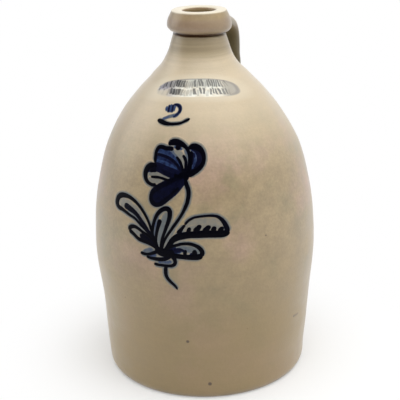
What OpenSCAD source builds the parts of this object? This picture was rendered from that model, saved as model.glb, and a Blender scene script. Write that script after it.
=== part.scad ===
// Two-gallon salt-glazed stoneware jug. A hollow body is thrown in one piece, a collar is
// tooled onto its neck, a pulled strap handle is luted on behind, and brown slip coats the
// inside. The jug stands on z = 0 with its axis on Z, its front at -Y and its handle at +Y.

/* [Thrown body] */
// Radius of the flat foot where it meets the table
foot_r = 93.5; // [84:0.5:97]
// Radius where the rounded heel turns into the wall
heel_r = 99.5; // [98:0.5:104]
// Height of the rounded heel
heel_h = 10; // [6:0.5:16]
// Radius of the nearly upright lower wall
flank_r = 103; // [99:0.5:106]
// Height at which the lower wall is measured
flank_h = 70; // [55:1:85]
// Largest radius of the body
belly_r = 108; // [104:0.5:114]
// Height of the largest radius
belly_h = 134; // [120:1:148]
// Radius of the upper wall
chest_r = 102.2; // [97:0.2:106]
// Height at which the upper wall is measured
chest_h = 191; // [178:1:202]
// Radius of the rounded shoulder
shoulder_r = 90.2; // [85:0.2:95]
// Height at which the shoulder is measured
shoulder_h = 233; // [224:1:242]
// Radius on the steep slope of the shoulder
slope_r = 66.8; // [62:0.2:71]
// Height at which that slope is measured
slope_h = 272; // [265:0.5:279]
// Radius at the foot of the throat
throat_r = 45.8; // [42:0.2:49]
// Height of the foot of the throat
throat_h = 293.5; // [290:0.5:297]
// Radius where the throat turns up into the neck
nape_r = 35.1; // [32.5:0.1:38]
// Height at which the throat turns up
nape_h = 306; // [302:0.5:310]
// Radius of the neck at its top
neck_r = 25; // [24:0.1:27]
// Height of the top of the neck
neck_h = 331.5; // [326:0.5:334]
// Thickness of the wall from flank to nape
wall_t = 6.5; // [5:0.25:9]
// Thickness of the wall at the heel
heel_wall_t = 8; // [6:0.25:11]
// Thickness of the floor
floor_t = 9; // [6:0.5:14]
// Radius of the inside corner between floor and wall
corner_r = 14; // [8:1:20]

/* [Collar and mouth] */
// Height of the groove between neck and collar
groove_h = 4; // [2:0.25:6]
// Depth of that groove into the neck
groove_d = 0.9; // [0.3:0.1:2]
// Height of the tooled collar
collar_h = 19.5; // [16:0.5:26]
// Largest radius of the collar
collar_r = 30.3; // [28.5:0.1:33]
// Radius of the collar at its upper edge
collar_top_r = 25.8; // [24.5:0.1:28]
// Radius of the mouth, which takes a cork
bore_r = 15.5; // [12:0.25:17]
// Thickness of the neck inside the collar
core_t = 6; // [4.5:0.25:7]
// Rounding of the mouth's edge
lip_round = 3; // [1.5:0.25:4]

/* [Strap handle] */
// Distance from the jug's axis to the middle of the strap at its furthest
handle_reach = 68; // [63:0.5:75]
// Distance from the rim down to the middle of the strap where it leaves the collar
handle_drop = 11.5; // [9:0.5:15]
// Height at which the strap comes down on the shoulder
handle_foot_h = 271; // [266:0.5:276]
// Depth to which the middle of the strap is pressed below the wall's surface there
handle_sink = 2; // [0.5:0.1:3]
// Width of the strap at mid length
handle_w = 33; // [24:0.5:38]
// Thickness of the strap at mid length
handle_t = 10.5; // [8:0.25:14]
// Depth of the finger-drawn groove down the strap's back
flute_d = 1.3; // [0:0.1:2.5]
// Width of that groove
flute_w = 9; // [4:0.5:12]
// Length of the tail that is wiped down the shoulder
tail_len = 19; // [10:0.5:26]

/* [Slip lining] */
// Thickness of the brown slip inside
lining_t = 0.6; // [0.4:0.05:1.2]

/* [Hidden] */
$fn = 180;

clay = [0.71, 0.64, 0.53];
clay_dark = [0.62, 0.55, 0.45];
brown_slip = [0.24, 0.13, 0.07];

// Gap at which luted pieces lie, and the overrun of cuts
lute_gap = 0.05;
overrun = 1;

// Steps in which curves are drawn
wall_step = 4.5;
slope_step = 0.5;
arc_steps = 8;
collar_steps = 24;
strap_rings = 56;
strap_sides = 32;

// Sizes that follow from the ones above
collar_base = neck_h + groove_h;
jug_h = collar_base + collar_h;
core_r = bore_r + core_t;
handle_top_h = jug_h - handle_drop;

// Stations of the thrown wall, from heel to neck: height, outer radius, wall thickness
wall = [
    [heel_h, heel_r, heel_wall_t],
    [flank_h, flank_r, wall_t],
    [belly_h, belly_r, wall_t],
    [chest_h, chest_r, wall_t],
    [shoulder_h, shoulder_r, wall_t],
    [slope_h, slope_r, wall_t],
    [throat_h, throat_r, wall_t],
    [nape_h, nape_r, wall_t],
    [neck_h, neck_r, neck_r - bore_r]
];

// The collar's outline: share of its height, then share of the way from its upper radius
// to its largest radius
collar_shares = [[0, 0.3], [0.07, 0.6], [0.17, 0.92], [0.29, 1], [0.4, 0.97], [0.57, 0.8], [0.78, 0.38], [0.95, 0.03]];

// The strap's middle line from the collar to its furthest: share of the way out from the
// neck to the reach, share of the way down, share of the width, share of the thickness,
// and share by which the strap curves round the jug
arch_shares = [
    [-0.1, 0, 1.3, 1.15, 1],
    [0.12, 0.015, 1.24, 1.12, 1],
    [0.46, 0.06, 1.08, 1.04, 0.4],
    [0.77, 0.14, 1, 1, 0],
    [0.94, 0.27, 0.97, 1, 0],
    [1, 0.45, 0.95, 1, 0]
];
// The same from there to the foot, with the first share out from the foot to the reach
landing_shares = [
    [0.73, 0.66, 0.95, 1, 0],
    [0.2, 0.83, 1.04, 1.02, 0.3],
    [0, 0.95, 1.22, 1.02, 0.8]
];
// The tail: share of its length, share of the width, share of the thickness
tail_shares = [[0.2, 1.34, 0.92], [0.5, 1.24, 0.7], [0.8, 0.9, 0.46], [1, 0.4, 0.22]];
// How square the strap's section is, where 2 is an ellipse
strap_power = 2.7;

// Cubic curve through stations p, whose first column is the way along. Column c is read at x.
function grade(p, i, c) = (p[i + 1][c] - p[i][c]) / (p[i + 1][0] - p[i][0]);
function tangent(p, i, c) =
    i == 0 ? grade(p, 0, c)
    : i == len(p) - 1 ? grade(p, i - 1, c)
    : let (before = p[i][0] - p[i - 1][0], after = p[i + 1][0] - p[i][0])
      (grade(p, i - 1, c) * after + grade(p, i, c) * before) / (before + after);
function span(p, x, i = 0) = i >= len(p) - 2 || x < p[i + 1][0] ? i : span(p, x, i + 1);
function curve(p, x, c) =
    let (i = span(p, x), w = p[i + 1][0] - p[i][0], t = (x - p[i][0]) / w)
    p[i][c] * (1 + 2 * t) * pow(1 - t, 2) + p[i + 1][c] * t * t * (3 - 2 * t)
    + w * t * (1 - t) * (tangent(p, i, c) * (1 - t) - tangent(p, i + 1, c) * t);
// Slope of that curve, read a short step either side
function steepness(p, x, c) =
    let (a = max(p[0][0], x - slope_step), b = min(p[len(p) - 1][0], x + slope_step))
    (curve(p, b, c) - curve(p, a, c)) / (b - a);

function even_steps(a, b, n) = [for (i = [0:n]) a + (b - a) * i / n];
function backwards(list) = [for (i = [len(list) - 1:-1:0]) list[i]];
function sum_of(list, i = 0) = i == len(list) - 1 ? list[i] : list[i] + sum_of(list, i + 1);

// Outer radius of the thrown wall at height z, and the point across the wall from there,
// with extra added to the wall's thickness
function outer_r(z) = curve(wall, z, 1);
function inner_point(z, extra) =
    let (
        lean = steepness(wall, z, 1),
        depth = (curve(wall, z, 2) + extra) / norm([1, lean])
    )
    [outer_r(z) - depth, z + depth * lean];
function wall_heights(from) = even_steps(from, neck_h, ceil((neck_h - from) / wall_step));
outer_wall = [for (z = wall_heights(heel_h)) [outer_r(z), z]];
heel = [for (i = [0:arc_steps - 1])
    let (a = 90 * i / arc_steps)
    [foot_r + (heel_r - foot_r) * sin(a), heel_h * (1 - cos(a))]];
// The inner wall stops short of the straight mouth, which then runs on in the bore
inner_wall_h = neck_h - wall_step;
function inner_wall(extra) = [for (z = wall_heights(floor_t + corner_r)) if (z < inner_wall_h) inner_point(z, extra)];
// The rounded corner from the floor up to the wall's first inner point
function inner_corner(extra) =
    let (top = inner_wall(extra)[0], base = floor_t + extra)
    [for (i = [0:arc_steps - 1])
        let (a = 90 * i / arc_steps)
        [top[0] - corner_r * (1 - sin(a)), base + (top[1] - base) * (1 - cos(a))]];

// The mouth's edge turns over from the top down to the bore
mouth_edge = [for (i = [0:arc_steps])
    let (a = 90 * i / arc_steps)
    [bore_r + lip_round * (1 - sin(a)), jug_h - lip_round * (1 - cos(a))]];

module jug_body() {
    groove_r = neck_r - groove_d;
    groove = [
        [groove_r, neck_h + groove_h / 4],
        [groove_r, collar_base],
        [core_r, collar_base],
        [core_r, jug_h]
    ];
    outside = concat([[0, 0]], heel, outer_wall, groove);
    inside = concat(mouth_edge, [[bore_r, neck_h]], backwards(inner_wall(0)), backwards(inner_corner(0)));
    color(clay) rotate_extrude() polygon(concat(outside, inside, [[0, floor_t]]));
}

// The collar's outline from its base to where its top turns over
function collar_side() =
    let (last = len(collar_shares) - 1)
    [for (s = even_steps(0, collar_shares[last][0], collar_steps))
        [collar_top_r + (collar_r - collar_top_r) * curve(collar_shares, s, 1), collar_base + s * collar_h]];

module neck_collar() {
    inner_r = core_r + lute_gap;
    side = collar_side();
    last = side[len(side) - 1];
    rise = jug_h - last[1];
    top = [for (i = [1:arc_steps])
        let (a = 90 * i / arc_steps)
        [last[0] - 1.6 * rise * (1 - cos(a)), last[1] + rise * sin(a)]];
    color(clay) rotate_extrude() polygon(concat([[inner_r, collar_base]], side, top, [[inner_r, jug_h]]));
}

// What the handle is pressed against: body and collar, grown by the luting gap
module handle_seat() {
    skin = [for (p = concat(outer_wall, collar_side())) [p[0] + lute_gap, p[1]]];
    rotate_extrude() polygon(concat([[0, 0]], skin, [[core_r, jug_h + overrun], [0, jug_h + overrun]]));
}

// A solid swept through rings of equally many points, closed at both ends
module swept(rings) {
    n = len(rings[0]);
    last = len(rings) - 1;
    ends = [for (k = [0, last]) sum_of(rings[k]) / n];
    sides = [for (k = [0:last - 1], i = [0:n - 1])
        let (a = k * n + i, b = k * n + (i + 1) % n)
        each [[a, b, b + n], [a, b + n, a + n]]];
    caps = [for (i = [0:n - 1])
        let (j = (i + 1) % n)
        each [[j, i, n * (last + 1)], [last * n + i, last * n + j, n * (last + 1) + 1]]];
    polyhedron(concat([for (ring = rings) each ring], ends), concat(sides, caps));
}

// Stations of the strap: way along, radius from the axis, height, width, thickness, wrap
function way_along(p, i) = i == 0 ? 0 : way_along(p, i - 1) + norm([p[i][0] - p[i - 1][0], p[i][1] - p[i - 1][1]]);
function strap_station(from_r, s) = [
    from_r + s[0] * (handle_reach - from_r),
    handle_top_h - s[1] * (handle_top_h - handle_foot_h),
    s[2] * handle_w,
    s[3] * handle_t,
    s[4]
];
strap = let (
        arch = [for (s = arch_shares) strap_station(neck_r, s)],
        seat_r = outer_r(handle_foot_h) - handle_sink,
        landing = [for (s = landing_shares) strap_station(seat_r, s)],
        tail = [for (s = tail_shares)
            let (z = handle_foot_h - s[0] * tail_len * cos(atan(steepness(wall, handle_foot_h, 1))))
            [outer_r(z), z, s[1] * handle_w, s[2] * handle_t, 1]],
        all = concat(arch, landing, tail)
    )
    [for (i = [0:len(all) - 1]) concat([way_along(all, i)], all[i])];
strap_len = strap[len(strap) - 1][0];

// One ring of the strap at distance s along it: a squared oval with a groove down its back.
// Where the strap is pressed on, its width curves round the jug's axis.
function strap_ring(s) =
    let (
        y = curve(strap, s, 1),
        z = curve(strap, s, 2),
        w = curve(strap, s, 3) / 2,
        t = curve(strap, s, 4) / 2,
        wrap = min(1, max(0, curve(strap, s, 5))),
        course = [steepness(strap, s, 1), steepness(strap, s, 2)],
        d = course / norm(course)
    )
    [for (i = [0:strap_sides - 1])
        let (
            a = 360 * (i + 0.5) / strap_sides,
            across = w * sign(cos(a)) * pow(abs(cos(a)), 2 / strap_power),
            oval = t * sign(sin(a)) * pow(abs(sin(a)), 2 / strap_power),
            flute = sin(a) > 0 ? 2 * t / handle_t * flute_d * exp(-pow(2 * across / flute_w, 2)) : 0,
            out = oval - flute,
            reach = y - d[1] * out,
            turn = across / y * 180 / PI
        )
        [
            (1 - wrap) * across + wrap * reach * sin(turn),
            (1 - wrap) * reach + wrap * reach * cos(turn),
            z + d[0] * out
        ]];

module strap_handle() {
    color(clay_dark) difference() {
        swept([for (s = even_steps(0, strap_len, strap_rings)) strap_ring(s)]);
        handle_seat();
    }
}

// A coat over the inner wall and floor, which thins out where the mouth begins
module slip_lining() {
    coat = concat([[0, floor_t + lining_t]], inner_corner(lining_t), inner_wall(lining_t));
    back = concat([[bore_r, neck_h]], backwards(inner_wall(0)), backwards(inner_corner(0)), [[0, floor_t]]);
    color(brown_slip) rotate_extrude() polygon(concat(coat, back));
}

jug_body();
neck_collar();
strap_handle();
slip_lining();
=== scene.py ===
"""Salt-glazed stoneware jug with a cobalt flower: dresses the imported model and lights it."""
import bisect
import math

import bmesh
import bpy
from mathutils import Matrix, Vector, noise


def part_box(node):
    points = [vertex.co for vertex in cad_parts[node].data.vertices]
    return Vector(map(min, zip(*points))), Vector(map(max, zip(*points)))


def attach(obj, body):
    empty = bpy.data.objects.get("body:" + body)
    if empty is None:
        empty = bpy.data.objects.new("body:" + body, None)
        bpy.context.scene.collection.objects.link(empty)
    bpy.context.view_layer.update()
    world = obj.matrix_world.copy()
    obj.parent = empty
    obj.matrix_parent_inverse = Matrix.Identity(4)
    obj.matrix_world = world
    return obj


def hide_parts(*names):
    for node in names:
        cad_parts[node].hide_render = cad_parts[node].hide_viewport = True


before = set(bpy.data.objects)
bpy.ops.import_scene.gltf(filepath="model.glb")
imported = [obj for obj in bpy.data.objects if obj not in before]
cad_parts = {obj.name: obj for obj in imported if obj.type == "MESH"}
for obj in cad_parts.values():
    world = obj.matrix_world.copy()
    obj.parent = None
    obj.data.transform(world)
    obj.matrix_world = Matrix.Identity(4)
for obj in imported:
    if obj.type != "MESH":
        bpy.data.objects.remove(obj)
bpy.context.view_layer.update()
MM = 0.001

# The jug's main heights, from the frame
JUG_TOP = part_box("jug_body")[1].z
COLLAR_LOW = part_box("neck_collar")[0].z

# How the photograph was taken, in mm and degrees: the camera's place round the jug, and how it is turned
VIEW_AZIMUTH = math.radians(22)
VIEW_DISTANCE = 933.7 * MM
VIEW_HEIGHT = 498.1 * MM
VIEW_SIDE = -3.4 * MM
VIEW_PITCH = math.radians(19.54)
VIEW_ROLL = math.radians(-1.43)
VIEW_LENS = 89.9

# Directions of the photograph: to its right, and away from the camera
RIGHTWARD = Vector((math.cos(VIEW_AZIMUTH), math.sin(VIEW_AZIMUTH), 0))
AWAY = Vector((-math.sin(VIEW_AZIMUTH), math.cos(VIEW_AZIMUTH), 0))
# Where the room is brightest: behind the jug and to its right
BRIGHT_WALL = (AWAY + RIGHTWARD).normalized()


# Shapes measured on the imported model

def turned_rows(node, facing):
    """Height and radius of a turned node's rows that face out (1) or in (-1), by height."""
    least_tilt = 0.12
    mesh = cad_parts[node].data
    rows = {}
    for face in mesh.polygons:
        outward = Vector((face.center.x, face.center.y, 0))
        if outward.length > MM and facing * face.normal.dot(outward.normalized()) > least_tilt:
            for index in face.vertices:
                spot = mesh.vertices[index].co
                rows[round(spot.z, 5)] = math.hypot(spot.x, spot.y)
    return sorted(rows.items())


def along_rows(rows, at):
    """Smooth value at a way along rows of (way, value), as a cubic through the rows."""
    ways = [row[0] for row in rows]
    i = min(max(bisect.bisect_right(ways, at) - 1, 0), len(rows) - 2)

    def slope(k):
        low, high = max(k - 1, 0), min(k + 1, len(rows) - 1)
        return (rows[high][1] - rows[low][1]) / (rows[high][0] - rows[low][0])

    (start, a), (end, b) = rows[i], rows[i + 1]
    width = end - start
    t = min(max((at - start) / width, 0), 1)
    return (a * (1 + 2 * t) * (1 - t) ** 2 + b * t * t * (3 - 2 * t)
            + width * t * (1 - t) * (slope(i) * (1 - t) - slope(i + 1) * t))


# Where the neck's wall turns in to the groove
NECK_TOP = 331.5 * MM
WALL_ROWS = [row for row in turned_rows("jug_body", 1) if row[0] <= COLLAR_LOW]
HOLLOW_ROWS = turned_rows("jug_body", -1)
COLLAR_ROWS = turned_rows("neck_collar", 1)
MOUTH_R = along_rows(HOLLOW_ROWS, COLLAR_LOW)


def wall_r(height):
    return along_rows(WALL_ROWS, height)


def wall_tilt(height):
    step = 0.5 * MM
    return (wall_r(height + step) - wall_r(height - step)) / (2 * step)


def on_wall(across, height, lift):
    """Point on the front at a way across and a height, lifted off the wall."""
    radius = wall_r(height)
    angle = math.asin(across / radius)
    tilt = wall_tilt(height)
    out = radius + lift / math.hypot(1, tilt)
    return Vector((out * math.sin(angle), -out * math.cos(angle),
                   height - lift * tilt / math.hypot(1, tilt)))


# How hand work departs from the turned shape: the groove's tilt, and how far each part swells
COLLAR_TILT = 0.03
WALL_WAVER = 0.5 * MM
RIGHT_SWELL = 1.3 * MM
SHOULDER_SWELL = 1.3 * MM
NAPE_SWELL = 1.0 * MM
# Heights in mm at which each swell starts, is full, fades and is gone
RIGHT_SWELL_HEIGHTS = (12, 50, 225, 262)
SHOULDER_SWELL_HEIGHTS = (272, 286, 294, 304)
NAPE_SWELL_HEIGHTS = (292, 300, 308, 322)
# How close the waver's waves lie round the jug and up it, and the height at which it is full
WAVER_ROUND, WAVER_UP, WAVER_FULL = 1.3, 60 * MM, 30 * MM
TILT_START = 300 * MM


def smooth_share(value, low, high):
    t = min(max((value - low) / (high - low), 0), 1)
    return t * t * (3 - 2 * t)


def hump(height, low, full, fading, gone):
    """A rise from low to full and a fall from fading to gone, all heights in mm but the first."""
    return smooth_share(height, low * MM, full * MM) * (1 - smooth_share(height, fading * MM, gone * MM))


def hand_made(spot):
    """Where a point of the true turned jug lies on the jug that a potter threw."""
    out = Vector((spot.x, spot.y, 0))
    moved = spot.copy()
    if out.length > MM:
        ring = Vector((spot.x / out.length, spot.y / out.length, spot.z / WAVER_UP))
        swell = WALL_WAVER * noise.noise(ring * WAVER_ROUND) * smooth_share(spot.z, 0, WAVER_FULL)
        right = max(0, out.normalized().dot(RIGHTWARD))
        left = max(0, -out.normalized().dot(RIGHTWARD))
        swell += RIGHT_SWELL * right ** 2 * hump(spot.z, *RIGHT_SWELL_HEIGHTS)
        swell += SHOULDER_SWELL * hump(spot.z, *SHOULDER_SWELL_HEIGHTS)
        swell += NAPE_SWELL * left ** 2 * hump(spot.z, *NAPE_SWELL_HEIGHTS)
        moved += out.normalized() * swell
    rise = smooth_share(spot.z, TILT_START, COLLAR_LOW)
    neck = rise * (1 - smooth_share(spot.z, COLLAR_LOW, JUG_TOP))
    moved.z -= COLLAR_TILT * neck * spot.dot(RIGHTWARD)
    return moved


MERGE_WITHIN = 0.01 * MM


def close_up(bm):
    """Merges points that lie on one another, and fills what is still open."""
    bmesh.ops.remove_doubles(bm, verts=bm.verts, dist=MERGE_WITHIN)
    bmesh.ops.holes_fill(bm, edges=[edge for edge in bm.edges if edge.is_boundary], sides=0)


def finish_piece(name, bm, material, node=None):
    """Makes an object of a bmesh, bends it as hand work does, and hands it to the frame."""
    for vert in bm.verts:
        vert.co = hand_made(vert.co)
    close_up(bm)
    bmesh.ops.recalc_face_normals(bm, faces=bm.faces)
    for face in bm.faces:
        face.smooth = True
    mesh = bpy.data.meshes.new(name)
    bm.to_mesh(mesh)
    bm.free()
    piece = bpy.data.objects.new(name, mesh)
    bpy.context.scene.collection.objects.link(piece)
    mesh.materials.append(material)
    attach(piece, "root")
    if node:
        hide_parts(node)
    return piece


def turn(profile, rounds):
    """Turns a profile of (radius, height) points about the jug's axis."""
    bm = bmesh.new()
    verts = [bm.verts.new((radius, 0, height)) for radius, height in profile]
    edges = [bm.edges.new(pair) for pair in zip(verts, verts[1:])]
    bmesh.ops.spin(bm, geom=verts + edges, cent=(0, 0, 0), axis=(0, 0, 1), angle=math.tau,
                   steps=rounds, use_merge=True, use_duplicate=False)
    return bm


def even(low, high, count):
    return [low + (high - low) * i / count for i in range(count + 1)]


# Nodes of materials

def add_node(tree, kind, **settings):
    """A node with its settings and, by socket name, its input values or links."""
    node = tree.nodes.new(kind)
    for key, value in settings.items():
        if key == "inputs":
            for socket, given in value.items():
                if isinstance(given, bpy.types.NodeSocket):
                    tree.links.new(given, node.inputs[socket])
                else:
                    node.inputs[socket].default_value = given
        else:
            setattr(node, key, value)
    return node


def maths(tree, operation, first, second=0.0, third=0.0):
    return add_node(tree, "ShaderNodeMath", operation=operation,
                    inputs={0: first, 1: second, 2: third}).outputs[0]


def times(tree, *factors):
    """The product of several values."""
    product = factors[0]
    for factor in factors[1:]:
        product = maths(tree, "MULTIPLY", product, factor)
    return product


def blended(tree, share, first, second):
    mix = add_node(tree, "ShaderNodeMix", data_type="RGBA")
    for socket, given in ((mix.inputs["Factor"], share), (mix.inputs[6], first), (mix.inputs[7], second)):
        if isinstance(given, bpy.types.NodeSocket):
            tree.links.new(given, socket)
        else:
            socket.default_value = given
    return mix.outputs[2]


def tinted(tree, color, tint, share, strength):
    """A colour with a tint laid on it, at the given strength where the share is 1."""
    return blended(tree, times(tree, share, strength), color, tint)


def toned(tree, color, value):
    """A colour made lighter or darker by a value."""
    return add_node(tree, "ShaderNodeVectorMath", operation="SCALE",
                    inputs={0: color, "Scale": value}).outputs[0]


def stretched(tree, value, low, high, to_low=0.0, to_high=1.0):
    return add_node(tree, "ShaderNodeMapRange", interpolation_type="SMOOTHSTEP",
                    inputs={"Value": value, "From Min": low, "From Max": high,
                            "To Min": to_low, "To Max": to_high}).outputs["Result"]


def risen(tree, value, start, full):
    """How far a value has come from start, 0, to full, 1, whichever of the two is higher."""
    if start > full:
        return stretched(tree, value, full, start, 1.0, 0.0)
    return stretched(tree, value, start, full)


def between(tree, value, start, full, fading, gone):
    """A rise from start to full, and a fall from fading to gone."""
    return times(tree, risen(tree, value, start, full), risen(tree, value, gone, fading))


def clouds(tree, where, scale, detail=3.0, roughness=0.5):
    return add_node(tree, "ShaderNodeTexNoise",
                    inputs={"Vector": where, "Scale": scale, "Detail": detail,
                            "Roughness": roughness}).outputs["Fac"]


def streaks(tree, where, scales, detail=3.0, roughness=0.5):
    """Clouds drawn out, with a scale of their own along each axis."""
    drawn = add_node(tree, "ShaderNodeMapping", inputs={"Vector": where, "Scale": scales}).outputs[0]
    return clouds(tree, drawn, 1.0, detail, roughness)


def object_place(tree):
    return add_node(tree, "ShaderNodeTexCoord").outputs["Object"]


def across_back_up(tree, where):
    """The x, y and z of a place."""
    return add_node(tree, "ShaderNodeSeparateXYZ", inputs={0: where}).outputs


def painted(tree, name):
    """Values painted on a piece's points."""
    return add_node(tree, "ShaderNodeAttribute", attribute_name=name).outputs["Fac"]


def shade(red, green, blue):
    """A colour as its 0 to 255 screen values read, made linear."""
    def linear(value):
        value /= 255
        return value / 12.92 if value <= 0.04045 else ((value + 0.055) / 1.055) ** 2.4
    return (linear(red), linear(green), linear(blue), 1)


def new_group(name, takes, gives):
    """A node group with named sockets, what it is given, and where its results go."""
    tree = bpy.data.node_groups.new(name, "ShaderNodeTree")
    for way, sockets in (("INPUT", takes), ("OUTPUT", gives)):
        for socket, kind in sockets:
            tree.interface.new_socket(socket, in_out=way, socket_type=kind)
    return tree, tree.nodes.new("NodeGroupInput").outputs, tree.nodes.new("NodeGroupOutput").inputs


# Glaze and clay

GLAZE_TAKES = (("Clay", "NodeSocketColor"), ("Blush", "NodeSocketColor"), ("Ash", "NodeSocketColor"),
               ("Iron", "NodeSocketColor"), ("Cloudiness", "NodeSocketFloat"))
GLAZE_GIVES = (("Color", "NodeSocketColor"), ("Roughness", "NodeSocketFloat"), ("Height", "NodeSocketFloat"))
# Sizes of what the kiln leaves in the glaze, as noise scales on a piece measured in metres
BLUSH_SCALE = 14
ASH_SCALE = 23
MOTTLE_SCALE = 60
SPECK_SCALE = 70
GRAIN_SCALE = 420
PIT_SCALE = 620
RIPPLE_SCALES = (6, 6, 170)
# Of all the cells that could hold a speck, the share that stays clean
CLEAN_SHARE = 0.93
# Depth of the relief on body, collar and slip, on the handle, and on the lining
GLAZE_RELIEF = 0.35 * MM
STRAP_RELIEF = 0.4 * MM
LINING_RELIEF = 0.25 * MM


def salt_glaze_group():
    """Salt glaze over stoneware: cloudy clay colour, iron specks, and pitted relief."""
    tree, given, result = new_group("salt_glaze", GLAZE_TAKES, GLAZE_GIVES)
    where = object_place(tree)
    cloudiness = given["Cloudiness"]
    blush = times(tree, stretched(tree, clouds(tree, where, BLUSH_SCALE, 4, 0.55), 0.48, 0.68), cloudiness)
    ash = times(tree, stretched(tree, clouds(tree, where, ASH_SCALE, 4, 0.6), 0.52, 0.7), cloudiness)
    color = blended(tree, blush, given["Clay"], given["Blush"])
    color = blended(tree, ash, color, given["Ash"])
    grain = stretched(tree, clouds(tree, where, GRAIN_SCALE, 3, 0.65), 0.25, 0.75, 0.9, 1.1)
    mottle = stretched(tree, clouds(tree, where, MOTTLE_SCALE, 4, 0.65), 0.3, 0.7, 0.89, 1.1)
    color = toned(tree, color, times(tree, grain, mottle))

    cells = add_node(tree, "ShaderNodeTexVoronoi", feature="F1",
                     inputs={"Vector": where, "Scale": SPECK_SCALE})
    chance = add_node(tree, "ShaderNodeSeparateColor", inputs={0: cells.outputs["Color"]}).outputs[0]
    chosen = maths(tree, "GREATER_THAN", chance, CLEAN_SHARE)
    speck = times(tree, chosen, risen(tree, cells.outputs["Distance"], 0.09, 0.03))
    color = tinted(tree, color, given["Iron"], speck, 0.75)
    tree.links.new(color, result["Color"])

    pits = times(tree, clouds(tree, where, PIT_SCALE, 2), 0.35)
    ripple = times(tree, streaks(tree, where, RIPPLE_SCALES, 2), 0.9)
    tree.links.new(maths(tree, "ADD", pits, ripple), result["Height"])
    patches = clouds(tree, where, MOTTLE_SCALE)
    tree.links.new(stretched(tree, patches, 0.3, 0.7, 0.36, 0.5), result["Roughness"])
    return tree


SALT_GLAZE = salt_glaze_group()
CLAY = shade(158, 139, 107)
# Painted shade: the handle's clay, darker than the body's
HANDLE_SHADED_CLAY = shade(144, 128, 96)
BLUSH = shade(169, 142, 122)
ASH = shade(146, 133, 102)
IRON = shade(70, 48, 34)
OLIVE = shade(141, 118, 73)
NECK = shade(148, 132, 102)
FOOT = shade(120, 104, 82)
SHOULDER = shade(208, 192, 164)
# Painted shade in the groove under the collar
GROOVE_SHADE = shade(112, 74, 38)
COLLAR_BROWN = shade(134, 111, 88)
# Painted shade on the collar's underside
COLLAR_UNDERSIDE_SHADE = shade(100, 76, 54)
# Painted highlight on the top of the rim
RIM_HIGHLIGHT = shade(222, 213, 190)
# Olive glaze with painted shade, on the strap's inner side
STRAP_OLIVE_AND_SHADE = shade(86, 77, 46)
COAT = 0.7
COAT_ROUGHNESS = 0.3
# Tints up the body: how strong, and the heights in mm where each starts and is full
BODY_TINTS = ((OLIVE, 0.8, 200, 40), (SHOULDER, 0.7, 205, 290), (NECK, 0.9, 309, 322), (FOOT, 0.6, 6, 0))
# Thrown lines round the body, and the heights in mm between which they grow plain
THROWN_SCALES = (7, 7, 260)
THROWN_FAINT, THROWN_PLAIN = 300, 318
# Specks burnt into the clay, in mm: way right of the middle, height, reach
KILN_SPECKS = ((21, 63, 2.1), (39, 17, 2.5), (100.1, 66.4, 2.3), (100.9, 66, 2.3), (101.5, 65.8, 2.0))


def glazed(clay, cloudiness):
    """What the salt glaze is given."""
    return {"Clay": clay, "Blush": BLUSH, "Ash": ASH, "Iron": IRON, "Cloudiness": cloudiness}


def body_clay_group():
    """The body's glazed clay: olive low down, pale on the shoulder, banded and darker on the neck."""
    tree, _, result = new_group("body_clay", (), GLAZE_GIVES)
    where = object_place(tree)
    z = across_back_up(tree, where)[2]
    glaze = add_node(tree, "ShaderNodeGroup", node_tree=SALT_GLAZE, inputs=glazed(CLAY, 1.0))
    color = glaze.outputs["Color"]
    for tint, strength, start, full in BODY_TINTS:
        color = tinted(tree, color, tint, risen(tree, z, start * MM, full * MM), strength)
    lines = streaks(tree, where, THROWN_SCALES, 4, 0.6)
    depth = stretched(tree, z, THROWN_FAINT * MM, THROWN_PLAIN * MM, 0.1, 0.7)
    color = toned(tree, color, maths(tree, "MULTIPLY_ADD", maths(tree, "SUBTRACT", lines, 0.5), depth, 1.0))
    for across, height, reach in KILN_SPECKS:
        spot = on_wall(across * MM, height * MM, 0)
        away = add_node(tree, "ShaderNodeVectorMath", operation="DISTANCE",
                        inputs={0: where, 1: spot}).outputs["Value"]
        color = tinted(tree, color, IRON, risen(tree, away, reach * MM, 0.4 * reach * MM), 0.92)
    tree.links.new(color, result["Color"])
    for name in ("Roughness", "Height"):
        tree.links.new(glaze.outputs[name], result[name])
    return tree


BODY_CLAY = body_clay_group()


def new_material(name):
    material = bpy.data.materials.new(name)
    material.use_nodes = True
    return material, material.node_tree, material.node_tree.nodes["Principled BSDF"]


def glaze_material(name, group, given):
    """A material with a glaze group, whose roughness and coat it takes on."""
    material, tree, shader = new_material(name)
    glaze = add_node(tree, "ShaderNodeGroup", node_tree=group, inputs=given)
    tree.links.new(glaze.outputs["Roughness"], shader.inputs["Roughness"])
    shader.inputs["Coat Weight"].default_value = COAT
    shader.inputs["Coat Roughness"].default_value = COAT_ROUGHNESS
    return material, tree, shader, glaze


def connect_relief(tree, shader, height, depth):
    bump = add_node(tree, "ShaderNodeBump", inputs={"Height": height, "Strength": 1.0, "Distance": depth})
    tree.links.new(bump.outputs[0], shader.inputs["Normal"])


# The pressed oval on the shoulder: its middle, half sizes and rise towards the middle
OVAL_TURN = math.radians(18)
OVAL_HALF_TURN = math.radians(45)
OVAL_HIGH = 291.6 * MM
OVAL_HALF = 6.9 * MM
OVAL_ARCH = 3.3 * MM
OVAL_HALO = shade(214, 205, 184)
OVAL_FROST = shade(232, 232, 222)
OVAL_END = shade(150, 143, 130)
OVAL_SMOKE = shade(118, 114, 132)
OVAL_RIM = shade(122, 118, 114)
OVAL_GREY = shade(158, 160, 152)
FROST_SCALE = 160
# Rows of pressed ticks: share of the way up from the oval's middle, number, half height as a share
TICK_ROWS = ((0.46, 34.0, 0.42), (-0.42, 29.0, 0.36))
TICK_DARK = shade(10, 9, 16)
TICK_FAINT = shade(104, 104, 100)
TICK_SWAY_SCALE = 90
TICK_DEEP = 1.6


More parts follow.
